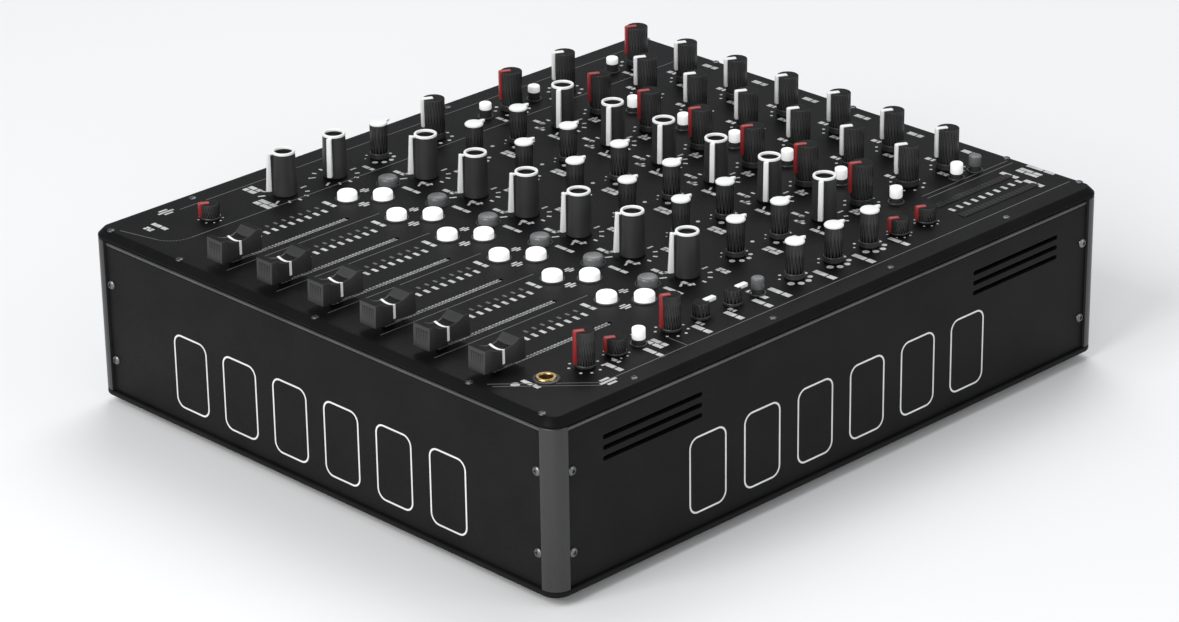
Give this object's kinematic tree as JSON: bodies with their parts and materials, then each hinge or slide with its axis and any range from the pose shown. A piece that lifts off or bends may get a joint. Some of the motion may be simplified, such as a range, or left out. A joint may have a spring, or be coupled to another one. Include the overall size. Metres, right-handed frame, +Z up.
{
  "type": "dj mixer",
  "caption": "Desktop DJ mixer: shallow black case with rounded corner posts and a flat top plate carrying channel faders, rotary knobs, cue keys and a headphone socket.",
  "frame": {"origin": "on the standing surface, under the middle of the case", "axes": "+X to the user's right, +Y away from the user, +Z up"},
  "size_m": [0.356, 0.418, 0.1286],
  "materials": {
    "case_paint": "fine matte black powder coat",
    "faceplate": "satin black anodised with white print",
    "corner_metal": "satin black anodised",
    "knob_plastic": "matte black moulded",
    "red_knob_plastic": "matte black moulded with a red pointer line",
    "key_white": "frosted white",
    "rubber": "matte",
    "circuit_board": "solder mask",
    "gilt_metal": "polished gilt",
    "bare_metal": "plain sheet"
  },
  "bodies": {
    "chassis": {"base_tray": "case_paint", "front_panel": "case_paint", "rear_panel": "case_paint", "left_panel": "case_paint", "right_panel": "case_paint", "top_plate": "faceplate", "main_board": "circuit_board", "power_supply": "bare_metal", "mains_inlet": "knob_plastic", "headphone_socket": "gilt_metal", "knob_bank": "knob_plastic", "key_bank": "key_white", "send_button_bank": "key_white", "front_left_foot": "rubber", "front_left_post": "corner_metal", "front_right_foot": "rubber", "front_right_post": "corner_metal", "rear_left_foot": "rubber", "rear_left_post": "corner_metal", "rear_right_foot": "rubber", "rear_right_post": "corner_metal"},
    "power_switch": {"power_switch": "knob_plastic"},
    "fader_1": {"fader_1": "knob_plastic"},
    "cue_key_1": {"cue_key_1": "key_white"},
    "low_ring_knob_1": {"low_ring_knob_1": "knob_plastic"},
    "high_ring_knob_1": {"high_ring_knob_1": "knob_plastic"},
    "red_knob_1": {"red_knob_1": "red_knob_plastic"},
    "level_knob_1": {"level_knob_1": "knob_plastic"},
    "fader_2": {"fader_2": "knob_plastic"},
    "cue_key_2": {"cue_key_2": "key_white"},
    "low_ring_knob_2": {"low_ring_knob_2": "knob_plastic"},
    "high_ring_knob_2": {"high_ring_knob_2": "knob_plastic"},
    "red_knob_2": {"red_knob_2": "red_knob_plastic"},
    "level_knob_2": {"level_knob_2": "knob_plastic"},
    "fader_3": {"fader_3": "knob_plastic"},
    "cue_key_3": {"cue_key_3": "key_white"},
    "low_ring_knob_3": {"low_ring_knob_3": "knob_plastic"},
    "high_ring_knob_3": {"high_ring_knob_3": "knob_plastic"},
    "red_knob_3": {"red_knob_3": "red_knob_plastic"},
    "level_knob_3": {"level_knob_3": "knob_plastic"},
    "fader_4": {"fader_4": "knob_plastic"},
    "cue_key_4": {"cue_key_4": "key_white"},
    "low_ring_knob_4": {"low_ring_knob_4": "knob_plastic"},
    "high_ring_knob_4": {"high_ring_knob_4": "knob_plastic"},
    "red_knob_4": {"red_knob_4": "red_knob_plastic"},
    "level_knob_4": {"level_knob_4": "knob_plastic"},
    "fader_5": {"fader_5": "knob_plastic"},
    "cue_key_5": {"cue_key_5": "key_white"},
    "low_ring_knob_5": {"low_ring_knob_5": "knob_plastic"},
    "high_ring_knob_5": {"high_ring_knob_5": "knob_plastic"},
    "red_knob_5": {"red_knob_5": "red_knob_plastic"},
    "level_knob_5": {"level_knob_5": "knob_plastic"},
    "fader_6": {"fader_6": "knob_plastic"},
    "cue_key_6": {"cue_key_6": "key_white"},
    "low_ring_knob_6": {"low_ring_knob_6": "knob_plastic"},
    "high_ring_knob_6": {"high_ring_knob_6": "knob_plastic"},
    "red_knob_6": {"red_knob_6": "red_knob_plastic"},
    "level_knob_6": {"level_knob_6": "knob_plastic"},
    "left_ring_knob_front": {"left_ring_knob_front": "knob_plastic"},
    "left_ring_knob_back": {"left_ring_knob_back": "knob_plastic"}
  },
  "joints": [
    {"name": "power_switch_rock", "type": "hinge", "parent": "chassis", "child": "power_switch", "pos_m": [-0.103, 0.20461, 0.045], "axis": [1, 0, 0], "range_deg": [-16, 0]},
    {"name": "fader_1_slide", "type": "slide", "parent": "chassis", "child": "fader_1", "axis": [0, 1, 0], "range_m": [0, 0.075]},
    {"name": "cue_key_1_slide", "type": "slide", "parent": "chassis", "child": "cue_key_1", "axis": [0, 0, -1], "range_m": [0, 0.0015], "stiffness_N_per_m": 300},
    {"name": "low_ring_knob_1_turn", "type": "hinge", "parent": "chassis", "child": "low_ring_knob_1", "pos_m": [-0.1, -0.0355, 0.103], "axis": [0, 0, 1], "range_deg": [-300, 0]},
    {"name": "high_ring_knob_1_turn", "type": "hinge", "parent": "chassis", "child": "high_ring_knob_1", "pos_m": [-0.1, 0.07, 0.103], "axis": [0, 0, 1], "range_deg": [0, 300]},
    {"name": "red_knob_1_turn", "type": "hinge", "parent": "chassis", "child": "red_knob_1", "pos_m": [-0.1, 0.1, 0.103], "axis": [0, 0, 1], "range_deg": [-300, 0]},
    {"name": "level_knob_1_turn", "type": "hinge", "parent": "chassis", "child": "level_knob_1", "pos_m": [-0.1, 0.171, 0.103], "axis": [0, 0, 1], "range_deg": [-300, 0]},
    {"name": "fader_2_slide", "type": "slide", "parent": "chassis", "child": "fader_2", "axis": [0, 1, 0], "range_m": [0, 0.075]},
    {"name": "cue_key_2_slide", "type": "slide", "parent": "chassis", "child": "cue_key_2", "axis": [0, 0, -1], "range_m": [0, 0.0015], "stiffness_N_per_m": 300},
    {"name": "low_ring_knob_2_turn", "type": "hinge", "parent": "chassis", "child": "low_ring_knob_2", "pos_m": [-0.06, -0.0355, 0.103], "axis": [0, 0, 1], "range_deg": [-300, 0]},
    {"name": "high_ring_knob_2_turn", "type": "hinge", "parent": "chassis", "child": "high_ring_knob_2", "pos_m": [-0.06, 0.07, 0.103], "axis": [0, 0, 1], "range_deg": [0, 300]},
    {"name": "red_knob_2_turn", "type": "hinge", "parent": "chassis", "child": "red_knob_2", "pos_m": [-0.06, 0.1, 0.103], "axis": [0, 0, 1], "range_deg": [-300, 0]},
    {"name": "level_knob_2_turn", "type": "hinge", "parent": "chassis", "child": "level_knob_2", "pos_m": [-0.06, 0.171, 0.103], "axis": [0, 0, 1], "range_deg": [-300, 0]},
    {"name": "fader_3_slide", "type": "slide", "parent": "chassis", "child": "fader_3", "axis": [0, 1, 0], "range_m": [0, 0.075]},
    {"name": "cue_key_3_slide", "type": "slide", "parent": "chassis", "child": "cue_key_3", "axis": [0, 0, -1], "range_m": [0, 0.0015], "stiffness_N_per_m": 300},
    {"name": "low_ring_knob_3_turn", "type": "hinge", "parent": "chassis", "child": "low_ring_knob_3", "pos_m": [-0.02, -0.0355, 0.103], "axis": [0, 0, 1], "range_deg": [-300, 0]},
    {"name": "high_ring_knob_3_turn", "type": "hinge", "parent": "chassis", "child": "high_ring_knob_3", "pos_m": [-0.02, 0.07, 0.103], "axis": [0, 0, 1], "range_deg": [0, 300]},
    {"name": "red_knob_3_turn", "type": "hinge", "parent": "chassis", "child": "red_knob_3", "pos_m": [-0.02, 0.1, 0.103], "axis": [0, 0, 1], "range_deg": [-300, 0]},
    {"name": "level_knob_3_turn", "type": "hinge", "parent": "chassis", "child": "level_knob_3", "pos_m": [-0.02, 0.171, 0.103], "axis": [0, 0, 1], "range_deg": [-300, 0]},
    {"name": "fader_4_slide", "type": "slide", "parent": "chassis", "child": "fader_4", "axis": [0, 1, 0], "range_m": [0, 0.075]},
    {"name": "cue_key_4_slide", "type": "slide", "parent": "chassis", "child": "cue_key_4", "axis": [0, 0, -1], "range_m": [0, 0.0015], "stiffness_N_per_m": 300},
    {"name": "low_ring_knob_4_turn", "type": "hinge", "parent": "chassis", "child": "low_ring_knob_4", "pos_m": [0.02, -0.0355, 0.103], "axis": [0, 0, 1], "range_deg": [-300, 0]},
    {"name": "high_ring_knob_4_turn", "type": "hinge", "parent": "chassis", "child": "high_ring_knob_4", "pos_m": [0.02, 0.07, 0.103], "axis": [0, 0, 1], "range_deg": [0, 300]},
    {"name": "red_knob_4_turn", "type": "hinge", "parent": "chassis", "child": "red_knob_4", "pos_m": [0.02, 0.1, 0.103], "axis": [0, 0, 1], "range_deg": [-300, 0]},
    {"name": "level_knob_4_turn", "type": "hinge", "parent": "chassis", "child": "level_knob_4", "pos_m": [0.02, 0.171, 0.103], "axis": [0, 0, 1], "range_deg": [-300, 0]},
    {"name": "fader_5_slide", "type": "slide", "parent": "chassis", "child": "fader_5", "axis": [0, 1, 0], "range_m": [0, 0.075]},
    {"name": "cue_key_5_slide", "type": "slide", "parent": "chassis", "child": "cue_key_5", "axis": [0, 0, -1], "range_m": [0, 0.0015], "stiffness_N_per_m": 300},
    {"name": "low_ring_knob_5_turn", "type": "hinge", "parent": "chassis", "child": "low_ring_knob_5", "pos_m": [0.06, -0.0355, 0.103], "axis": [0, 0, 1], "range_deg": [-300, 0]},
    {"name": "high_ring_knob_5_turn", "type": "hinge", "parent": "chassis", "child": "high_ring_knob_5", "pos_m": [0.06, 0.07, 0.103], "axis": [0, 0, 1], "range_deg": [0, 300]},
    {"name": "red_knob_5_turn", "type": "hinge", "parent": "chassis", "child": "red_knob_5", "pos_m": [0.06, 0.1, 0.103], "axis": [0, 0, 1], "range_deg": [-300, 0]},
    {"name": "level_knob_5_turn", "type": "hinge", "parent": "chassis", "child": "level_knob_5", "pos_m": [0.06, 0.171, 0.103], "axis": [0, 0, 1], "range_deg": [-300, 0]},
    {"name": "fader_6_slide", "type": "slide", "parent": "chassis", "child": "fader_6", "axis": [0, 1, 0], "range_m": [0, 0.075]},
    {"name": "cue_key_6_slide", "type": "slide", "parent": "chassis", "child": "cue_key_6", "axis": [0, 0, -1], "range_m": [0, 0.0015], "stiffness_N_per_m": 300},
    {"name": "low_ring_knob_6_turn", "type": "hinge", "parent": "chassis", "child": "low_ring_knob_6", "pos_m": [0.1, -0.0355, 0.103], "axis": [0, 0, 1], "range_deg": [-300, 0]},
    {"name": "high_ring_knob_6_turn", "type": "hinge", "parent": "chassis", "child": "high_ring_knob_6", "pos_m": [0.1, 0.07, 0.103], "axis": [0, 0, 1], "range_deg": [0, 300]},
    {"name": "red_knob_6_turn", "type": "hinge", "parent": "chassis", "child": "red_knob_6", "pos_m": [0.1, 0.1, 0.103], "axis": [0, 0, 1], "range_deg": [-300, 0]},
    {"name": "level_knob_6_turn", "type": "hinge", "parent": "chassis", "child": "level_knob_6", "pos_m": [0.1, 0.171, 0.103], "axis": [0, 0, 1], "range_deg": [-300, 0]},
    {"name": "left_ring_knob_front_turn", "type": "hinge", "parent": "chassis", "child": "left_ring_knob_front", "pos_m": [-0.1375, -0.106, 0.103], "axis": [0, 0, 1], "range_deg": [-300, 0]},
    {"name": "left_ring_knob_back_turn", "type": "hinge", "parent": "chassis", "child": "left_ring_knob_back", "pos_m": [-0.1375, -0.0695, 0.103], "axis": [0, 0, 1], "range_deg": [0, 300]}
  ]
}
